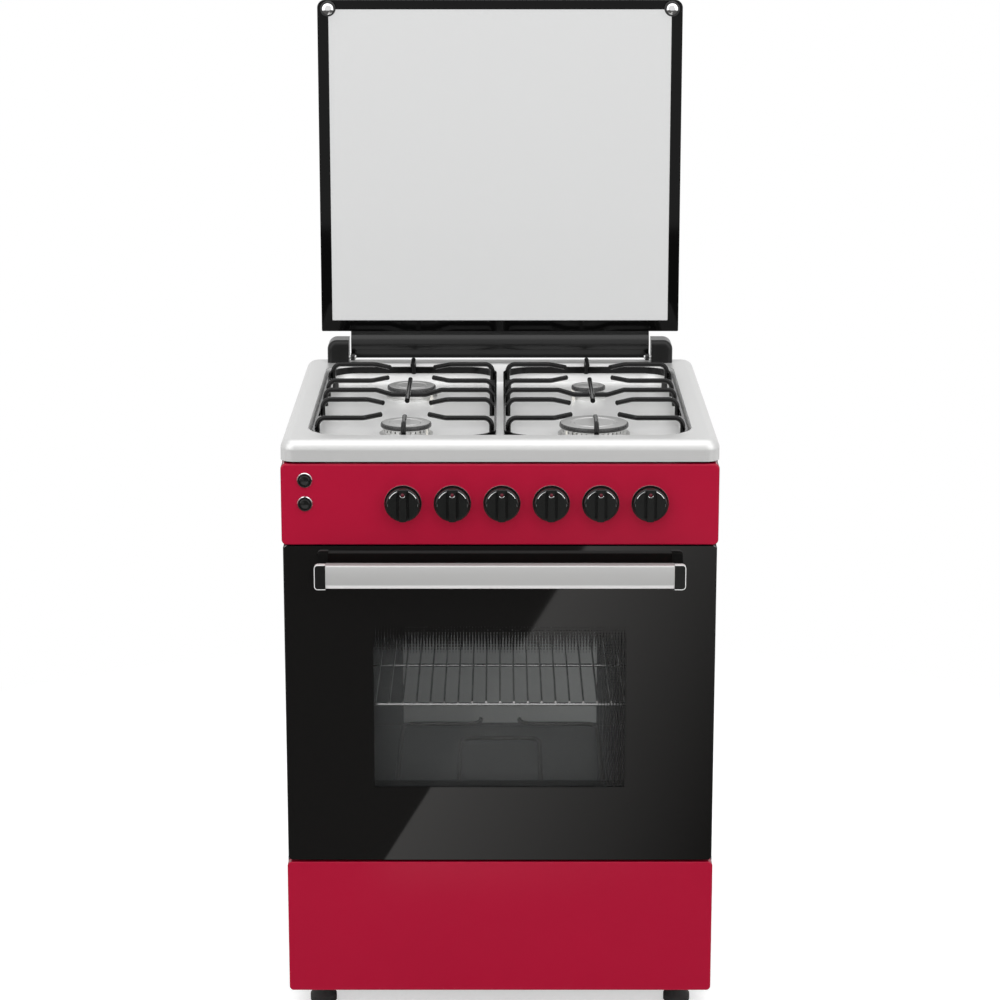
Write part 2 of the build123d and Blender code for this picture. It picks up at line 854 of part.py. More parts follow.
def lid_glass():
    plate = block((-lid_half, lid_half), (lid_face, lid_face + glass), (lid_bottom, lid_top))
    plate = fillet(plate.edges().filter_by(Axis.Y).group_by(Axis.Z)[-1], lid_corner)
    return fillet(plate.edges().filter_by(Axis.Y).group_by(Axis.Z)[0], lid_low_corner)


def lid_rail():
    """A round-fronted rail below the glass, with a flat strip that holds the glass from behind."""
    strip = lid_face + glass
    back = strip + rail_depth
    low = hob_height + rail_above_hob
    middle = (low + lid_bottom) / 2
    front = lid_face - rail_proud
    turn = front + rail_bulge
    behind = block((-rail_half, rail_half), (strip, back), (middle, lid_bottom + rail_lap))
    bulge = ThreePointArc((turn, low), (front, middle), (turn, lid_bottom))
    rest = Polyline((turn, lid_bottom), (back, lid_bottom), (back, low), (turn, low))
    below = extrude(Plane.YZ * make_face(bulge.edges() + rest.edges()), amount=rail_half, both=True)
    x = (rail_half - 6, rail_half)
    tab = block(x, (lid_pivot_y, turn + 2), (lid_pivot_z, lid_pivot_z + lid_eye))
    eye = rod_x(x, lid_pivot_y, lid_pivot_z, lid_eye)
    bore = rod_x((x[0] - 1, x[1] + 1), lid_pivot_y, lid_pivot_z, lid_pin)
    return fused([behind, below] + both_sides(tab + eye - bore))


def lid_hinge_pins():
    return both_sides(rod_x((rail_half - 8, block_inner + 16), lid_pivot_y, lid_pivot_z, lid_pin))


def lid_hinge_blocks():
    body = block((block_inner, block_outer), (block_front, block_back), (hob_height, block_top))
    body = fillet(body.edges().filter_by(Axis.Y).group_by(Axis.Z)[-1].sort_by(Axis.X)[-1], block_round)
    body = fillet(body.edges().filter_by(Axis.X).group_by(Axis.Z)[-1].sort_by(Axis.Y)[0], block_round / 2)
    bore = rod_x((block_inner - 1, block_inner + 17), lid_pivot_y, lid_pivot_z, lid_pin + running_fit)
    return both_sides(body - bore)


def bumper_reach():
    """How far the bumpers stand out, so that they nearly touch the hob when the lid is shut."""
    return lid_setback + lid_pivot_z - hob_height - closed_gap


def lid_bumpers():
    collar = bumper_reach() - glass
    return both_sides(rod_y(bumper_x, (lid_face - collar, lid_face), bumper_z, bumper_radius))


def lid_bumper_caps():
    reach = bumper_reach()
    cap = rod_y(bumper_x, (lid_face - reach, lid_face - reach + glass), bumper_z, bumper_dome)
    return both_sides(fillet(cap.edges().sort_by(Axis.Y)[0], 3))


def parts():
    knobs = knob_places()
    made = {
        "side_panel_right": side_panel(),
        "side_panel_left": other_side(side_panel()),
        "back_panel": back_panel(),
        "back_screws": back_screws(),
        "base_tray": base_tray(),
        "front_frame": front_frame(),
        "feet": feet(),
        "oven_cavity": oven_cavity(),
        "cavity_insulation": cavity_insulation(),
        "heating_elements": [heating_element(top_element_z, frame_back + 70),
                             heating_element(bottom_element_z, frame_back + 50)],
        "oven_lamp": [oven_lamp(), lamp_lens()],
        "shelf_guides": shelf_guides(),
        "wire_shelf": wire_shelf(),
        "door_seal": door_seal(),
        "door_glass_outer": door_glass_outer(),
        "door_frame": door_frame(),
        "door_glass_inner": door_glass_inner(),
        "door_hinge_pins": door_hinge_pins(),
        "door_hinge_brackets": door_hinge_brackets(),
        "door_handle": door_handle(),
        "door_handle_ends": door_handle_ends(),
        "drawer_front": drawer_front(),
        "drawer_box": drawer_box(),
        "drawer_rails": drawer_rails(),
        "hob_top": hob_top(),
        "burner_cups": burner_cups(),
        "burner_crowns": burner_crowns(),
        "burner_caps": burner_caps(),
        "burner_probes": spark_electrodes() + flame_sensors(),
        "pan_frame_right": support_frame(),
        "pan_frame_left": other_side(support_frame()),
        "pan_bars_right": support_bars(),
        "pan_bars_left": [other_side(bar) for bar in support_bars()],
        "pan_pads_right": pan_support_pads(),
        "pan_pads_left": [other_side(pad) for pad in pan_support_pads()],
        "fascia_panel": fascia_panel(),
        "control_bezels": knob_bezels() + button_bezels(),
        "knob_oven_function": oven_knob(knobs[0]),
        "knob_thermostat": oven_knob(knobs[1]),
        "gas_taps": gas_taps(),
        "gas_rail": gas_rail(),
        "gas_pipes": gas_pipes(),
        "gas_inlet": gas_inlet(),
        "control_switches": oven_switches() + button_switches(),
        "electric_boxes": [spark_generator(), terminal_box()],
        "button_ignition": push_button(button_heights[0]),
        "button_lamp": push_button(button_heights[1]),
        "lid_glass": lid_glass(),
        "lid_rail": lid_rail(),
        "lid_hinge_pins": lid_hinge_pins(),
        "lid_hinge_blocks": lid_hinge_blocks(),
        "lid_bumpers": lid_bumpers() + lid_bumper_caps(),
    }
    for (name, *_), x in zip(burners, knobs[2:]):
        made["knob_" + name] = gas_knob(x)
        made["tap_spindle_" + name] = tap_spindle(x)
    return made


os.makedirs("parts", exist_ok=True)
for node, shape in parts().items():
    pieces = shape if isinstance(shape, list) else [shape]
    solids = [solid for piece in pieces for solid in piece.solids()]
    export_step(shift * Compound(children=solids), f"parts/{node}.step")
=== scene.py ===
# %% [markdown]
# # A dual fuel range cooker
# The cooker's solids come packed, with every piece in its place and every moving piece on its
# own body. This lesson dresses them: it loads the solids, adds the finer pieces that a solid
# model leaves plain, and gives every surface a finish made of nodes.

# %% Load the frame
from math import hypot, pi, radians

import bmesh
import bpy
from mathutils import Matrix, Vector


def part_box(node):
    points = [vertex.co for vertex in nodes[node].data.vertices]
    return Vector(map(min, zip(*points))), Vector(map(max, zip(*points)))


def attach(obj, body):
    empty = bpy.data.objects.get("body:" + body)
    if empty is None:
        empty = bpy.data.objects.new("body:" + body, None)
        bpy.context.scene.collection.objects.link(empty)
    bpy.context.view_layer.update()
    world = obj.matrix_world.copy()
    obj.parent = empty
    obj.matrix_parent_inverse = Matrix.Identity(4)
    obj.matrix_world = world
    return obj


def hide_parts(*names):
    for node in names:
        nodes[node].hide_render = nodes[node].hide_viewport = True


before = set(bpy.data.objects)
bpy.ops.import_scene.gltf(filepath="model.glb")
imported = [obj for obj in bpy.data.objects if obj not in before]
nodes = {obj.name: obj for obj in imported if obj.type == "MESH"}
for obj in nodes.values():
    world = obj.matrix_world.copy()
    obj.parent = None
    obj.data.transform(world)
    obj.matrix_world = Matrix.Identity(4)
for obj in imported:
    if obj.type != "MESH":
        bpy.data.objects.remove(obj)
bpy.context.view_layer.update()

materials_before = len(bpy.data.materials)

# %% [markdown]
# ## Shader maths as Python
# A finish is a sum of small patterns. They could be wired by hand in the node editor, but a
# formula is easier to read and to change. One small class wraps a socket, so that a pattern is
# written as a sum or a product, and one method adds every other kind of node.

# %% A socket that can be reckoned with


class Wire:
    """One output socket of a node, which can be added, multiplied and compared."""

    def __init__(self, tree, socket):
        self.tree = tree
        self.socket = socket

    def node(self, kind, settings=None, inputs=None, out=0):
        """A new node with its settings and the values or links of its inputs."""
        made = self.tree.nodes.new(kind)
        for name, value in (settings or {}).items():
            setattr(made, name, value)
        for key, value in (inputs or {}).items():
            if isinstance(value, Wire):
                self.tree.links.new(value.socket, made.inputs[key])
            else:
                made.inputs[key].default_value = value
        return Wire(self.tree, made.outputs[out])

    def beside(self, out):
        """Another output of the same node."""
        return Wire(self.tree, self.socket.node.outputs[out])

    def maths(self, operation, *values):
        return self.node("ShaderNodeMath", {"operation": operation}, dict(enumerate(values)))

    def __add__(self, other):
        return self.maths("ADD", self, other)

    def __sub__(self, other):
        return self.maths("SUBTRACT", self, other)

    def __rsub__(self, other):
        return self.maths("SUBTRACT", other, self)

    def __mul__(self, other):
        return self.maths("MULTIPLY", self, other)

    def __truediv__(self, other):
        return self.maths("DIVIDE", self, other)

    def __pow__(self, other):
        return self.maths("POWER", self, other)

    def __gt__(self, other):
        return self.maths("GREATER_THAN", self, other)

    def __lt__(self, other):
        return self.maths("LESS_THAN", self, other)

    __radd__ = __add__
    __rmul__ = __mul__

    def size(self):
        return self.maths("ABSOLUTE", self)

    def fraction(self):
        return self.maths("FRACT", self)

    def most(self, other):
        return self.maths("MAXIMUM", self, other)

    def within(self):
        """The value kept between 0 and 1."""
        return self.node("ShaderNodeClamp", {}, {"Value": self})

    def axes(self):
        """The three parts of a place."""
        apart = self.node("ShaderNodeSeparateXYZ", {}, {"Vector": self})
        return [apart.beside(i) for i in range(3)]

    def stretched(self, scale):
        return self.node("ShaderNodeMapping", {}, {"Vector": self, "Scale": scale})

    def noise(self, scale, detail=2.0, rough=0.5):
        sockets = {"Vector": self, "Scale": scale, "Detail": detail, "Roughness": rough}
        return self.node("ShaderNodeTexNoise", {}, sockets)

    def blend(self, low, high):
        """A colour between low and high by this value."""
        return self.node("ShaderNodeMix", {"data_type": "RGBA"}, {0: self, 6: low, 7: high}, out=2)


# %% [markdown]
# ## One recipe for most finishes
# Real paint, plastic and metal are never quite even. Each finish could be built by itself, but
# they differ in little, so they share a recipe: a colour that wanders slightly, a grain that
# changes the roughness, and a faint relief. The grain's stretch tells brushed metal from cast
# metal. The patterns read the object's own coordinates, so they stay on a piece that moves.

# %% An empty material and its main shader


def empty_material(name):
    """A new material with only an output, and the place on the object as a start for patterns."""
    material = bpy.data.materials.new(name)
    material.use_nodes = True
    tree = material.node_tree
    tree.nodes.clear()
    output = tree.nodes.new("ShaderNodeOutputMaterial")
    place = tree.nodes.new("ShaderNodeTexCoord")
    return material, Wire(tree, place.outputs["Object"]), output


def shader(name):
    """A new material, its place on the object and its main shader."""
    material, place, output = empty_material(name)
    surface = place.tree.nodes.new("ShaderNodeBsdfPrincipled")
    place.tree.links.new(surface.outputs[0], output.inputs["Surface"])
    return material, place, surface


def feed(place, surface, **values):
    """Values and links for the main shader, named as its sockets are."""
    for key, value in values.items():
        socket = surface.inputs[key.replace("_", " ")]
        if isinstance(value, Wire):
            place.tree.links.new(value.socket, socket)
        elif isinstance(value, tuple) and len(value) == 3:
            socket.default_value = (*value, 1.0)
        else:
            socket.default_value = value


def shade(colour, factor):
    return tuple(min(1.0, part * factor) for part in colour) + (1.0,)


# %% The recipe
wander_scale, wander_share = 7.0, 0.7
fine_detail, fine_roughness = 3.0, 0.6
relief_strength = 0.5


def relief_of(place, pattern, height):
    """A faint relief, as high as the given distance, for the shader's normal."""
    sockets = {"Height": pattern, "Strength": relief_strength, "Distance": height}
    return place.node("ShaderNodeBump", {}, sockets)


def finish(name, colour, roughness, drift=0.08, grain=(60, 60, 60), play=0.04, relief=0.0, **more):
    """A finish whose colour drifts, with a grain in its roughness and its relief."""
    material, place, surface = shader(name)
    wander = place.noise(wander_scale, fine_detail)
    pattern = place.stretched(grain).noise(1.0, fine_detail, fine_roughness)
    mixed = wander * wander_share + pattern * (1 - wander_share)
    tint = mixed.blend(shade(colour, 1 - drift), shade(colour, 1 + drift))
    feed(place, surface, Base_Color=tint, Roughness=pattern * (2 * play) + (roughness - play), **more)
    if relief:
        feed(place, surface, Normal=relief_of(place, pattern, relief))
    return material


# %% [markdown]
# ## Enamel, paint and plastic
# The fronts are deep red enamel on steel, which is glossy and almost even, so its colour hardly
# drifts. The sides are grey paint with a fine grain. The knobs, the hinge blocks and the end caps
# are moulded black plastic. The blacks reflect less than usual, which keeps them deep under
# soft light from every side.

# %% Enamel and paint
red = finish("red_enamel", (0.37, 0.0045, 0.030), 0.2, drift=0.05, grain=(25, 25, 25), play=0.02,
             relief=0.00002, Specular_IOR_Level=0.2)
grey_paint = finish("grey_paint", (0.16, 0.16, 0.165), 0.42, grain=(700, 700, 700), play=0.05,
                    relief=0.00005)
black_enamel = finish("black_enamel", (0.012, 0.012, 0.012), 0.3, grain=(200, 200, 200),
                      relief=0.00002)
rod_enamel = finish("rod_enamel", (0.003, 0.003, 0.003), 0.13, drift=0.2, grain=(240, 240, 240),
                    play=0.04, relief=0.00003, Specular_IOR_Level=0.22)
rail_black = finish("rail_black", (0.003, 0.003, 0.003), 0.24, grain=(4, 300, 300), play=0.03,
                    Specular_IOR_Level=0.4)

# %% Plastic and rubber
gloss_black = finish("knob_plastic", (0.008, 0.0085, 0.008), 0.2, drift=0.1, grain=(160, 160, 160),
                     play=0.05, relief=0.00002, Specular_IOR_Level=0.35)
block_black = finish("block_plastic", (0.006, 0.006, 0.006), 0.3, drift=0.1, grain=(160, 160, 160),
                     play=0.05, relief=0.00002, Specular_IOR_Level=0.25)
matt_black = finish("matt_plastic", (0.028, 0.028, 0.028), 0.48, grain=(900, 900, 900), play=0.06,
                    relief=0.00004)
rubber = finish("rubber", (0.018, 0.018, 0.018), 0.7, grain=(400, 400, 400), relief=0.00004)
seal = finish("seal", (0.03, 0.03, 0.03), 0.62, grain=(300, 300, 300), relief=0.00004)
print("finishes of enamel, paint and plastic:", len(bpy.data.materials) - materials_before)

# %% [markdown]
# ## Metals
# Brushed metal has fine streaks along the length of the sheet, so its grain is stretched far in
# one direction. Galvanised sheet has soft spangles, cast aluminium has a fine even grain, and a
# heating element is darkened by heat. The handle and the caps are only partly metallic, because
# their lacquer and enamel scatter light as paint does.

# %% Sheet, bars and castings
zinc = finish("galvanised_steel", (0.50, 0.51, 0.52), 0.45, drift=0.12, grain=(80, 80, 80), play=0.1,
              Metallic=1.0)
bolt_steel = finish("bolt_steel", (0.6, 0.6, 0.6), 0.35, grain=(500, 500, 500), Metallic=1.0)
aluminium = finish("cast_aluminium", (0.62, 0.62, 0.61), 0.42, grain=(900, 900, 900), play=0.08,
                   relief=0.00004, Metallic=1.0)
handle_metal = finish("handle_aluminium", (0.50, 0.50, 0.495), 0.36, drift=0.02,
                      grain=(3, 600, 600), play=0.05, relief=0.00001, Metallic=0.35)
# A near-white, barely metallic finish that is a painted highlight, standing in for the shine on the
# handle's lower edge and on the lips round its end caps.
highlight_painted_edge = finish("highlight_painted_edge", (0.92, 0.92, 0.915), 0.25, drift=0.02, grain=(3, 600, 600),
                     play=0.04, Metallic=0.2)
brass = finish("brass", (0.60, 0.44, 0.18), 0.32, grain=(500, 500, 500), Metallic=1.0)

# %% Chrome, heated metal and the burners
chrome = finish("chrome", (0.72, 0.72, 0.72), 0.1, drift=0.03, grain=(300, 300, 300), play=0.03,
                Metallic=1.0)
dark_chrome = finish("dark_chrome", (0.06, 0.06, 0.06), 0.25, grain=(300, 300, 300), Metallic=0.8)
element_metal = finish("element_metal", (0.10, 0.09, 0.08), 0.5, drift=0.25, grain=(200, 200, 200),
                       relief=0.00003, Metallic=0.9)
# The caps' grey top is a painted reflection: the caps are black enamel, and the grey stands in for
# what their gloss reflects. The dark edge is the enamel's own black.
cap_top_painted_sheen = finish("burner_cap", (0.46, 0.46, 0.455), 0.34, drift=0.08, grain=(500, 500, 500),
                 play=0.06, relief=0.00004, Metallic=0.5)
cap_edge = finish("burner_cap_edge", (0.035, 0.035, 0.035), 0.28, grain=(400, 400, 400), play=0.06)
ceramic = finish("ceramic", (0.78, 0.76, 0.70), 0.3, grain=(300, 300, 300))
wool = finish("mineral_wool", (0.55, 0.48, 0.30), 0.95, drift=0.3, grain=(90, 90, 90), relief=0.002)
print("finishes with the metals:", len(bpy.data.materials) - materials_before)

# %% [markdown]
# ## The hob's steel
# The hob is one pressed and brushed sheet. Its well is painted much paler than its rim, which is
# painted light. Two materials would need a cut in the mesh, so one material holds both tones, and
# a mask on the object's coordinates tells them apart. The mask is worked out from the hob's own box.

# %% Hob steel
hob_low, hob_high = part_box("hob_top")
rim_width, rim_depth = 0.0335, 0.0015
# The well's tone is painted light: it is far paler than the rim, standing in for light the well
# doesn't catch.
rim_steel, well_steel_painted_light = (0.61, 0.61, 0.605), (0.90, 0.90, 0.895)
brushed_along, brush_play = (5, 420, 420), 0.03
polished, streak_play, streak_relief = 0.30, 0.12, 0.00001

hob_steel, place, surface = shader("hob_steel")
streak = place.stretched(brushed_along).noise(1.0, fine_detail, fine_roughness)
x, y, z = place.axes()
below_rim = z < hob_high.z - rim_depth
in_well = below_rim * (x.size() < hob_high.x - rim_width) * (y > hob_low.y + rim_width)
rim_tint, well_lit_tint = [streak.blend(shade(tone, 1 - brush_play), shade(tone, 1 + brush_play))
                       for tone in (rim_steel, well_steel_painted_light)]
feed(place, surface, Base_Color=in_well.blend(rim_tint, well_lit_tint), Metallic=0.5,
     Roughness=streak * streak_play + polished, Normal=relief_of(place, streak, streak_relief))
print("the hob's rim is", rim_width, "wide")

# %% [markdown]
# ## Speckled oven enamel
# The oven's inside is dark grey enamel with fine light specks, which are the peaks of a very
# fine noise. The middle of its back wall is painted pale and glows faintly by itself, more towards
# the right: painted light for the light that shows through the window. A lamp in the oven would
# light the door's glass as well, so the wall gives off that little light by itself.

# %% Speckled enamel
# A patch in the middle of the back wall is painted pale and glows: painted light, brighter towards
# the right.
lit_back_half, lit_back_low, lit_back_high, wall_thickness = 0.150, 0.290, 0.470, 0.0013
speck_scale, speck_above = 900.0, 0.66
glow_middle, glow_slope = 0.045, 0.17

oven_enamel, place, surface = shader("oven_enamel")
specks = place.noise(speck_scale, 1.0) > speck_above
walls = specks.blend((0.10, 0.10, 0.104, 1), (0.34, 0.34, 0.34, 1))
x, y, z = place.axes()
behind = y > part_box("oven_cavity")[1].y - wall_thickness
painted_light_on_back = behind * (x.size() < lit_back_half) * (z > lit_back_low) * (z < lit_back_high)
glow = painted_light_on_back * (x * glow_slope + glow_middle)
feed(place, surface, Base_Color=painted_light_on_back.blend(walls, (0.90, 0.91, 0.90, 1)), Roughness=0.32,
     Emission_Color=glow.blend((0, 0, 0, 1), (0.95, 1.0, 0.98, 1)), Emission_Strength=1.0)
print("the oven's pale back is", 2 * lit_back_half, "wide and", lit_back_high - lit_back_low, "high")

# %% [markdown]
# ## Glass
# The door's outer glass is printed black on its back, apart from a window that lets the oven
# show. Towards the window's top and right the print goes on as dots that grow. The lid is
# slightly grey glass with a black printed border. A print could be an image, but a mask on the
# object's own coordinates is sharp at any distance, and stays in place on a door that opens.

# %% Distances from rounded rectangles


def from_edge(x, z, half, low, high, corner):
    """How far a place is outside a rounded rectangle, negative inside."""
    across = (x.size() - (half - corner)).most(0.0)
    along = ((z - (low + high) / 2).size() - ((high - low) / 2 - corner)).most(0.0)
    return (across * across + along * along) ** 0.5 - corner


# %% The door's glass
window_half, window_low, window_high, window_corner = 0.1755, 0.3430, 0.5790, 0.003
dot_pitch, largest_dot, dot_growth = 0.0042, 0.60, 0.6
fade_down, fade_from, fade_across = 0.042, 0.130, 0.09
window_clear = 0.93

door_glass, place, surface = shader("door_glass")
x, y, z = place.axes()
inside = from_edge(x, z, window_half, window_low, window_high, window_corner) < 0.0
column, row = (x / dot_pitch).fraction() - 0.5, (z / dot_pitch).fraction() - 0.5
from_dot = (column * column + row * row) ** 0.5
fade_top = ((z - (window_high - fade_down)) / fade_down).within()
fade_right = ((x - fade_from) / fade_across).within()
printed = (from_dot < fade_top.most(fade_right) ** dot_growth * largest_dot) * inside
clear = inside * (1 - printed)
feed(place, surface, Base_Color=clear.blend((0.0045, 0.0042, 0.004, 1), (0.05, 0.052, 0.051, 1)),
     Alpha=1 - clear * window_clear, Roughness=0.03)
print("the window is", 2 * window_half, "wide and", round(window_high - window_low, 4), "high")

# %% The inner door glass
smudge_scale, least_seen, smudge_play = 9.0, 0.06, 0.05
inner_glass, place, surface = shader("inner_glass")
smudge = place.noise(smudge_scale, 2.0)
feed(place, surface, Base_Color=(0.25, 0.26, 0.26), Alpha=smudge * smudge_play + least_seen,
     Roughness=0.04)
print("the inner glass hides", least_seen, "to", least_seen + smudge_play)

# %% The lid's glass
lid_low, lid_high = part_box("lid_glass")
border, border_corner, thinner_at_top = 0.0165, 0.001, 0.002
clear_at_foot, clearer_upwards = 0.75, 0.08

lid_glass, place, surface = shader("lid_glass")
x, y, z = place.axes()
panel = from_edge(x, z, lid_high.x - border, lid_low.z + border,
                  lid_high.z - border + thinner_at_top, border_corner) < 0.0
passes = (z - lid_low.z) * clearer_upwards + clear_at_foot
feed(place, surface, Base_Color=panel.blend((0.002, 0.002, 0.002, 1), (0.25, 0.255, 0.255, 1)),
     Alpha=1 - panel * passes, Roughness=0.04, Specular_IOR_Level=0.15)
print("the lid's printed border is", border, "wide")

# %% [markdown]
# ## Dressing the solids
# Each solid keeps its mesh, and gets its finish by name. The knobs and the taps' spindles come
# several times over, so they go by the start of their names.

# %% Finishes by node
looks = {
    "side_panel_right": grey_paint, "side_panel_left": grey_paint, "back_panel": zinc,
    "back_screws": bolt_steel, "base_tray": zinc, "front_frame": black_enamel, "feet": rubber,
    "oven_cavity": oven_enamel, "cavity_insulation": wool, "heating_elements": element_metal,
    "oven_lamp": aluminium, "shelf_guides": chrome, "wire_shelf": chrome, "door_seal": seal,
    "door_glass_outer": door_glass, "door_frame": black_enamel, "door_glass_inner": inner_glass,
    "door_hinge_pins": bolt_steel, "door_hinge_brackets": zinc, "door_handle": handle_metal,
    "door_handle_ends": gloss_black, "drawer_front": red, "drawer_box": zinc, "drawer_rails": zinc,
    "hob_top": hob_steel, "burner_cups": aluminium, "burner_crowns": aluminium,
    "burner_caps": cap_top_painted_sheen, "burner_probes": ceramic, "pan_frame_right": rod_enamel,
    "pan_frame_left": rod_enamel, "pan_bars_right": rod_enamel, "pan_bars_left": rod_enamel,
    "pan_pads_right": rubber, "pan_pads_left": rubber,
    "fascia_panel": red, "control_bezels": dark_chrome, "gas_taps": brass, "gas_rail": zinc,
    "gas_pipes": aluminium, "gas_inlet": brass, "control_switches": matt_black,
    "electric_boxes": matt_black, "button_ignition": gloss_black,
    "button_lamp": gloss_black, "lid_glass": lid_glass, "lid_rail": rail_black,
    "lid_hinge_pins": bolt_steel, "lid_hinge_blocks": block_black, "lid_bumpers": rubber,
}
looks_by_start = {"knob_": gloss_black, "tap_spindle_": brass}
for name, node in nodes.items():
    shared = [look for start, look in looks_by_start.items() if name.startswith(start)]
    node.data.materials.clear()
    node.data.materials.append(shared[0] if shared else looks[name])
print("dressed", len(nodes), "solids")

# %% [markdown]
# ## Finer pieces
# The solids keep the main shapes. What a hand or an eye meets close up is made finer here:
# burner caps, bezels, buttons, the knobs' inlays, the handle's bar and the lid's buffers. Most
# are round, so they come from a profile that is spun, as on a lathe: a profile has few points,
# and its edges and grooves can be put exactly where they belong.

# %% A lathe and a bent bar
full_turn = 2 * pi


def spin_edges(shape, made, angle, steps):
    """Spins what is given about the Z axis. A full turn closes on itself."""
    bmesh.ops.spin(shape, geom=made, cent=(0, 0, 0), axis=(0, 0, 1), angle=angle, steps=steps,
                   use_merge=angle == full_turn)


def settle(shape, centre, axis):
    """Closes a spun shape and moves it from the Z axis to its own place and direction."""
    bmesh.ops.remove_doubles(shape, verts=shape.verts, dist=1e-6)
    turn = Vector(axis).to_track_quat("Z", "Y").to_matrix().to_4x4()
    bmesh.ops.transform(shape, matrix=Matrix.Translation(centre) @ turn, verts=shape.verts)
    bmesh.ops.recalc_face_normals(shape, faces=shape.faces)


def lathe(profile, centre, axis, closed=False, steps=64, edge_from=None):
    """A profile of (radius, height) spun right round. Faces beyond edge_from take a second finish."""
    shape = bmesh.new()
    corners = [shape.verts.new((radius, 0, height)) for radius, height in profile]
    pairs = list(zip(corners, corners[1:] + corners[:1]))
    edges = [shape.edges.new(pair) for pair in (pairs if closed else pairs[:-1])]
    spin_edges(shape, corners + edges, full_turn, steps)
    if edge_from:
        for face in shape.faces:
            middle = face.calc_center_median()
            if hypot(middle.x, middle.y) > edge_from:
                face.material_index = 1
    settle(shape, centre, axis)
    return shape


def arc_bar(radius, thickness, start, stop, centre, axis, steps=16):
    """A thin round bar bent along part of a circle, from one angle to another in degrees."""
    shape = bmesh.new()
    turn = Matrix.Rotation(radians(start), 4, "Z") @ Matrix.Translation((radius, 0, 0))
    lie = Matrix.Rotation(radians(90), 4, "X")
    made = bmesh.ops.create_circle(shape, cap_ends=True, radius=thickness, segments=8,
                                   matrix=turn @ lie)
    geometry = made["verts"] + list(shape.edges) + list(shape.faces)
    spin_edges(shape, geometry, radians(stop - start), steps)
    settle(shape, centre, axis)
    return shape


# %% From a shape to a piece on its body


def to_object(name, shape, looks):
    mesh = bpy.data.meshes.new(name)
    shape.to_mesh(mesh)
    shape.free()
    for look in looks:
        mesh.materials.append(look)
    made = bpy.data.objects.new(name, mesh)
    bpy.context.scene.collection.objects.link(made)
    return made


def piece(name, shape, looks, body, stands_for=(), sharp=35):
    """A piece with smooth faces and sharp edges, riding on a body, which may replace solids."""
    made = to_object(name, shape, looks)
    made.data.shade_smooth()
    made.data.set_sharp_from_angle(angle=radians(sharp))
    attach(made, body)
    if stands_for:
        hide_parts(*stands_for)
    return made


# %% [markdown]
# ### Burner caps
# Each cap is a low disc of black enamel with a ring groove, its top painted grey as a painted
# reflection and its edge dark, and the four differ only in size. One profile is therefore given
# as shares of the radius for the groove, and as distances from the edge for the rounded rim.

# %% Burner caps
burner_x, burner_front, burner_rear = 0.133, -0.1145, 0.1525
burner_places = {
    "front_left": (-burner_x, burner_front, 0.036), "rear_left": (-burner_x, burner_rear, 0.0365),
    "front_right": (burner_x, burner_front, 0.049), "rear_right": (burner_x, burner_rear, 0.0255),
}
caps_low, caps_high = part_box("burner_caps")
cap_tall = caps_high.z - caps_low.z
groove_depth, dark_edge = 0.0012, 0.0016
groove = [(0.56, 0), (0.59, groove_depth), (0.65, groove_depth), (0.68, 0)]
rim = [(0.0022, cap_tall), (0.0006, cap_tall - 0.0009), (0, cap_tall - 0.0024), (0, 0.001),
       (0.0008, 0)]
for name, (x, y, radius) in burner_places.items():
    profile = [(0, cap_tall)]
    profile += [(share * radius, cap_tall - depth) for share, depth in groove]
    profile += [(radius - inset, height) for inset, height in rim]
    profile += [(0, 0)]
    shape = lathe(profile, (x, y, caps_low.z), (0, 0, 1), steps=96, edge_from=radius - dark_edge)
    piece("burner_cap_" + name, shape, [cap_top_painted_sheen, cap_edge], "cooker", ["burner_caps"])
print("burner caps:", len(burner_places), "each", round(cap_tall, 4), "tall")

# %% [markdown]
# ### Bezels and buttons
# Every knob turns in a shallow black cup with a thin bright edge. The two buttons have chrome
# rings and slightly dished faces. A cup and a ring are closed profiles, so that they are thin
# shells with a real hole for the spindle or the button, and the outer faces take the chrome.

# %% Bezels
panel_y, toward_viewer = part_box("fascia_panel")[0].y, (0, -1, 0)
first_knob_x, knob_pitch, knob_z = -0.1325, 0.0675, 0.752
knob_names = ["oven_function", "thermostat", *burner_places]
knob_x = {name: first_knob_x + knob_pitch * i for i, name in enumerate(knob_names)}
cup = [(0.0055, 0), (0.0055, 0.0008), (0.0236, 0.0008), (0.0241, 0.0022), (0.0246, 0.003),
       (0.0255, 0.003), (0.0260, 0.0022), (0.0260, 0)]
cup_chrome_from = 0.0251
for name, x in knob_x.items():
    shape = lathe(cup, (x, panel_y, knob_z), toward_viewer, closed=True, edge_from=cup_chrome_from)
    piece("bezel_" + name, shape, [dark_chrome, chrome], "cooker", ["control_bezels"])
print("bezels:", len(knob_x))

# %% Buttons
button_x, button_heights = -0.2665, {"button_ignition": 0.751, "button_lamp": 0.784}
button_depth, ring_chrome_from = 0.014, 0.0098
ring = [(0.0078, 0), (0.0078, 0.0018), (0.0083, 0.0025), (0.0098, 0.0025), (0.0107, 0.0014),
        (0.0107, 0)]
push = [(0, 0.0030), (0.0035, 0.0032), (0.0054, 0.0040), (0.0062, 0.0040), (0.0071, 0.0036),
        (0.0075, 0.0029), (0.0075, -button_depth), (0, -button_depth)]
for name, z in button_heights.items():
    on_panel = (button_x, panel_y, z)
    shape = lathe(ring, on_panel, toward_viewer, closed=True, steps=48, edge_from=ring_chrome_from)
    piece(name + "_ring", shape, [dark_chrome, chrome], "cooker", ["control_bezels"])
    shape = lathe(push, on_panel, toward_viewer, steps=48)
    piece(name + "_cap", shape, [gloss_black], name, [name])
print("buttons:", len(button_heights))

# %% [markdown]
# ### Inlays on the knobs
# A knob shows where it points with a small red dot at the top of its grip bar. A bright collar
# runs under the dot, and bright inlays follow the rim. They could be painted on, but the real
# ones stand slightly proud and catch the light, so each is a thin bar bent along a circle. They
# ride on the knob and turn with it.

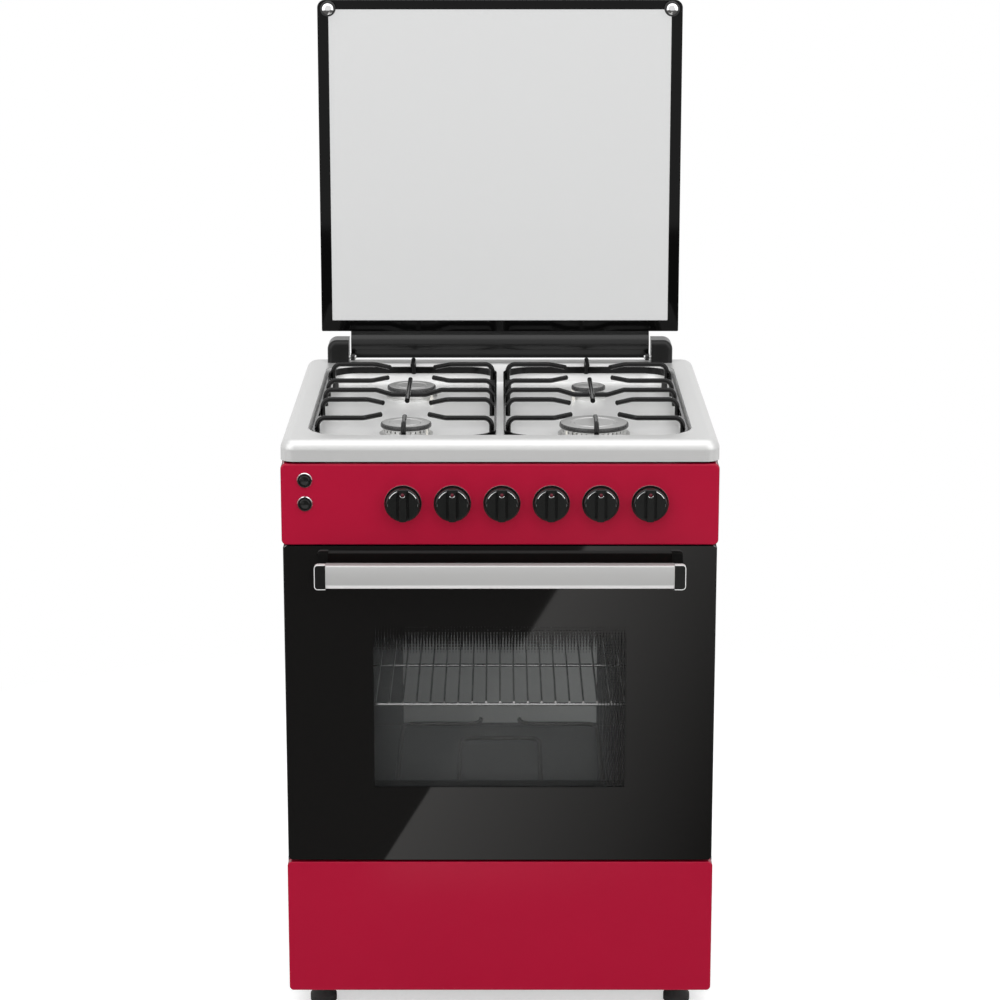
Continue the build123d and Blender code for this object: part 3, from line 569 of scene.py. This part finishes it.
# %% Knob inlays
bar_face, disc_face = panel_y - 0.018, panel_y - 0.0135
dot_above_middle = 0.0155
collar_radius, collar_thick, collar_from, collar_to = 0.0037, 0.00045, 200, 340
inlay_radius, inlay_thick = 0.0205, 0.0006
inlay_angles = ((28, 68), (112, 152), (-5, 5), (175, 185))
dot_look = finish("red_dot", (0.10, 0.004, 0.012), 0.25, grain=(200, 200, 200), play=0.03)
dot_dome = [(0, 0.0007), (0.0012, 0.0006), (0.0021, 0.0003), (0.0025, -0.0004), (0, -0.0004)]
for name, x in knob_x.items():
    body = "knob_" + name
    top = (x, bar_face, knob_z + dot_above_middle)
    shape = lathe(dot_dome, top, toward_viewer, steps=32)
    piece(body + "_dot", shape, [dot_look], body)
    shape = arc_bar(collar_radius, collar_thick, collar_from, collar_to, top, toward_viewer)
    piece(body + "_collar", shape, [chrome], body)
    for side, (start, stop) in enumerate(inlay_angles):
        middle = (x, disc_face, knob_z)
        shape = arc_bar(inlay_radius, inlay_thick, start, stop, middle, toward_viewer)
        piece(f"{body}_inlay_{side}", shape, [chrome], body)
print("inlays on each knob:", len(inlay_angles))

# %% [markdown]
# ### The door handle
# The bar is an extruded aluminium profile whose lower edge is painted near white, a painted
# highlight. It is made as in the works: its section is drawn as one face and pulled along the bar,
# and then its long edges are bevelled. The face that looks down and forwards takes the painted
# highlight.

# %% Pulling a face along a line


def pull(shape, faces, along):
    """Extrudes faces and moves what is new."""
    pulled = bmesh.ops.extrude_face_region(shape, geom=faces)
    moved = [item for item in pulled["geom"] if isinstance(item, bmesh.types.BMVert)]
    bmesh.ops.translate(shape, vec=along, verts=moved)


# %% Handle bar
handle_low, handle_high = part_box("door_handle")
bar_half, bar_low, bar_high = handle_high.x, handle_low.z, handle_high.z
bar_front, bar_back = handle_low.y, handle_high.y
slope_in, slope_up, top_round, edge_round = 0.0035, 0.0055, 0.0015, 0.0006
slanting = -0.3
section = [(bar_back, bar_low), (bar_front + slope_in, bar_low), (bar_front, bar_low + slope_up),
           (bar_front, bar_high - top_round), (bar_front + top_round, bar_high),
           (bar_back, bar_high)]
shape = bmesh.new()
start = shape.faces.new([shape.verts.new((-bar_half, y, z)) for y, z in section])
pull(shape, [start], (2 * bar_half, 0, 0))
long_edges = [edge for edge in shape.edges
              if abs(edge.verts[0].co.x - edge.verts[1].co.x) > bar_half]
bmesh.ops.bevel(shape, geom=long_edges, offset=edge_round, offset_type="OFFSET", affect="EDGES",
                segments=2, profile=0.5, material=-1)
bmesh.ops.recalc_face_normals(shape, faces=shape.faces)
# Faces that look down and forwards take the painted highlight.
for face in shape.faces:
    if face.normal.z < slanting and face.normal.y < slanting:
        face.material_index = 1
piece("handle_bar", shape, [handle_metal, highlight_painted_edge], "door", ["door_handle"])
print("handle bar:", round(2 * bar_half, 4), "long")

# %% [markdown]
# ### Lips round the handle's end caps
# A thin lip runs round the outer end of each black cap, painted near white as a painted highlight.
# A plate with two rounded corners is inset by the lip's width, its middle and the side at the bar
# are deleted, and what is left is pulled back along the cap.

# %% Lips
cap_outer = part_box("door_handle_ends")[1].x
lip, lip_round, lip_depth = 0.001, 0.005, 0.008
for side in (-1, 1):
    shape = bmesh.new()
    corners = [(bar_half, bar_low - lip), (cap_outer + lip, bar_low - lip),
               (cap_outer + lip, bar_high + lip), (bar_half, bar_high + lip)]
    shape.faces.new([shape.verts.new((side * x, bar_front, z)) for x, z in corners])
    outer = [vert for vert in shape.verts if abs(vert.co.x) > bar_half + lip]
    bmesh.ops.bevel(shape, geom=outer, offset=lip_round, offset_type="OFFSET", affect="VERTICES",
                    segments=5, profile=0.5, material=-1)
    bmesh.ops.inset_region(shape, faces=list(shape.faces), thickness=lip, use_even_offset=True,
                           use_boundary=True)
    inner = max(shape.faces, key=lambda face: face.calc_area())
    beside_bar = [face for face in shape.faces if abs(face.calc_center_median().x) < bar_half + lip]
    bmesh.ops.delete(shape, geom=list({inner, *beside_bar}), context="FACES")
    pull(shape, list(shape.faces), (0, lip_depth, 0))
    bmesh.ops.recalc_face_normals(shape, faces=shape.faces)
    label = "left" if side < 0 else "right"
    # The lip takes the near-white finish of the painted highlight.
    piece("handle_lip_" + label, shape, [highlight_painted_edge], "door")
print("handle lips:", lip, "wide")

# %% [markdown]
# ### Buffers on the lid
# Two rubber collars with chromed domes keep the shut lid off the hob. They sit on the lid's
# glass near its free corners, and ride on the lid.

# %% Lid buffers
from_side, from_top = 0.0166, 0.013
collar = [(0, 0), (0.0108, 0), (0.0114, 0.001), (0.0114, 0.0105), (0.0106, 0.0117), (0, 0.0117)]
chrome_dome = [(0.0090, 0.0110), (0.0090, 0.0125), (0.0083, 0.0141), (0.0064, 0.0151),
               (0.0033, 0.0156), (0, 0.0157)]
for side, label in ((-1, "left"), (1, "right")):
    on_lid = (side * (lid_high.x - from_side), lid_low.y, lid_high.z - from_top)
    shape = lathe(collar, on_lid, toward_viewer, steps=48)
    piece("buffer_collar_" + label, shape, [rubber], "lid", ["lid_bumpers"])
    shape = lathe(chrome_dome, on_lid, toward_viewer, steps=48)
    piece("buffer_dome_" + label, shape, [chrome], "lid", ["lid_bumpers"])
print("buffers:", from_side, "from the lid's sides")

# %% [markdown]
# ## The studio
# The floor is pale near the cooker, where it takes the cooker's shadow, and turns as white as
# the backdrop further out, so that no horizon shows through the lid's glass. Only what the
# camera sees is lifted: the light that the floor throws on the cooker stays the same. A dark
# card lies in front of the cooker and is seen only in reflections. Its slanted bright part gives
# the door its sheen, as a card beside the camera does in a studio.

# %% Sheets that belong to the studio


def studio_sheet(name, across, along, height, material):
    """A flat rectangle from its spans in x and y, kept out of the object itself."""
    (left, right), (front, back) = across, along
    shape = bmesh.new()
    corners = [(left, front, height), (right, front, height), (right, back, height),
               (left, back, height)]
    shape.faces.new([shape.verts.new(corner) for corner in corners])
    made = to_object(name, shape, [material])
    return made


def glow_of(place, strength, colour=(1, 1, 1, 1)):
    return place.node("ShaderNodeEmission", {}, {"Color": colour, "Strength": strength})


def mix_shaders(place, share, first, second):
    return place.node("ShaderNodeMixShader", {}, {0: share, 1: first, 2: second})


# %% Floor
reach, white_from, white_over, near_lift = 3.2, 0.9, 0.7, 0.5
floor_look, place, output = empty_material("floor")
pale = place.node("ShaderNodeBsdfDiffuse", {}, {"Color": (0.85, 0.85, 0.85, 1)})
near = place.node("ShaderNodeAddShader", {}, {0: pale, 1: glow_of(place, near_lift)})
x, y, z = place.axes()
far_off = (((x * x + y * y) ** 0.5 - white_from) / white_over).within()
seen = place.node("ShaderNodeLightPath", out="Is Camera Ray")
lifted = mix_shaders(place, far_off, near, glow_of(place, 1.0))
whole = mix_shaders(place, seen, pale, lifted)
place.tree.links.new(whole.socket, output.inputs["Surface"])
studio_sheet("floor", (-reach, reach), (-reach, reach), 0, floor_look)
print("floor:", 2 * reach, "across")

# %% Card
slant_x, slant_y, slant = -0.1885, -0.901, -0.3875 / 2.049
fades_over, bright_from, bright_to = 0.52, -3.1, -0.80
dark_level, bright_level, card_white = 0.12, 1.07, (1, 0.98, 0.96, 1)
card_half, card_far, card_near, above_floor = 4, -7, -0.36, 0.001
card_look, place, output = empty_material("card")
x, y, z = place.axes()
right_of = x - ((y - slant_y) * slant + slant_x)
fading = (right_of > 0.0) * (1 - right_of / fades_over).within()
bright = fading * (y > bright_from) * (y < bright_to)
light = mix_shaders(place, bright, glow_of(place, dark_level, card_white),
                    glow_of(place, bright_level, card_white))
place.tree.links.new(light.socket, output.inputs["Surface"])
card = studio_sheet("card", (-card_half, card_half), (card_far, card_near), above_floor, card_look)
for way in ("camera", "diffuse", "transmission", "volume_scatter", "shadow"):
    setattr(card, "visible_" + way, False)
print("card: bright over", fades_over, "beside its slant")

# %% [markdown]
# ## Soft light
# A wide softbox hangs above and a smaller one stands on each side. Large lamps give soft
# shadows and broad reflections on enamel and steel. The world fills the rest, and is white only
# where the camera, a mirror or a glass looks at it, so the backdrop needs no more light on the
# object.

# %% Lamps


def lamp(name, place, aim, size, power):
    data = bpy.data.lights.new(name, "AREA")
    data.shape = "RECTANGLE"
    data.size, data.size_y = size
    data.energy = power
    made = bpy.data.objects.new(name, data)
    made.location = place
    made.rotation_euler = (Vector(aim) - Vector(place)).to_track_quat("-Z", "Y").to_euler()
    bpy.context.scene.collection.objects.link(made)


lamp("top_softbox", (0.0, -0.8, 3.2), aim=(0, 0.1, 0.8), size=(4.2, 3.4), power=52)
for label, x in (("left", -2.6), ("right", 2.6)):
    lamp(label + "_softbox", (x, -2.4, 1.9), aim=(0, 0, 0.6), size=(2.8, 3.2), power=35)
print("lamps:", len(bpy.data.lights))

# %% World
fill, shown_white = 0.55, 1.0
world = bpy.data.worlds.new("studio")
bpy.context.scene.world = world
world.use_nodes = True
tree = world.node_tree
tree.nodes.clear()
world_out = tree.nodes.new("ShaderNodeOutputWorld")
camera_ray = Wire(tree, tree.nodes.new("ShaderNodeLightPath").outputs["Is Camera Ray"])
shown = camera_ray.most(camera_ray.beside("Is Glossy Ray"))
shown = shown.most(camera_ray.beside("Is Transmission Ray"))
air = camera_ray.node("ShaderNodeBackground", {}, {
    "Color": (1, 1, 1, 1), "Strength": shown * (shown_white - fill) + fill})
tree.links.new(air.socket, world_out.inputs["Surface"])
print("world:", fill, "on the object and", shown_white, "where it is seen")

# %% [markdown]
# ## The camera
# The camera stands about four metres in front of the cooker and looks down at it, far enough
# away for the sides to stay almost parallel. Its height and tilt were chosen so that the hob
# shows as deep as it does in the photograph.

# %% Camera
stands_at, looks_down, focal_length = (0, -4.079, 1.6745), 13.582, 103.06
camera_data = bpy.data.cameras.new("camera")
camera_data.sensor_width = 36
camera_data.lens = focal_length
camera = bpy.data.objects.new("camera", camera_data)
camera.location = stands_at
camera.rotation_euler = (radians(90 - looks_down), 0, 0)
bpy.context.scene.collection.objects.link(camera)
bpy.context.scene.camera = camera
bpy.context.scene.view_settings.view_transform = "Standard"
print("camera:", focal_length, "mm,", looks_down, "degrees down")
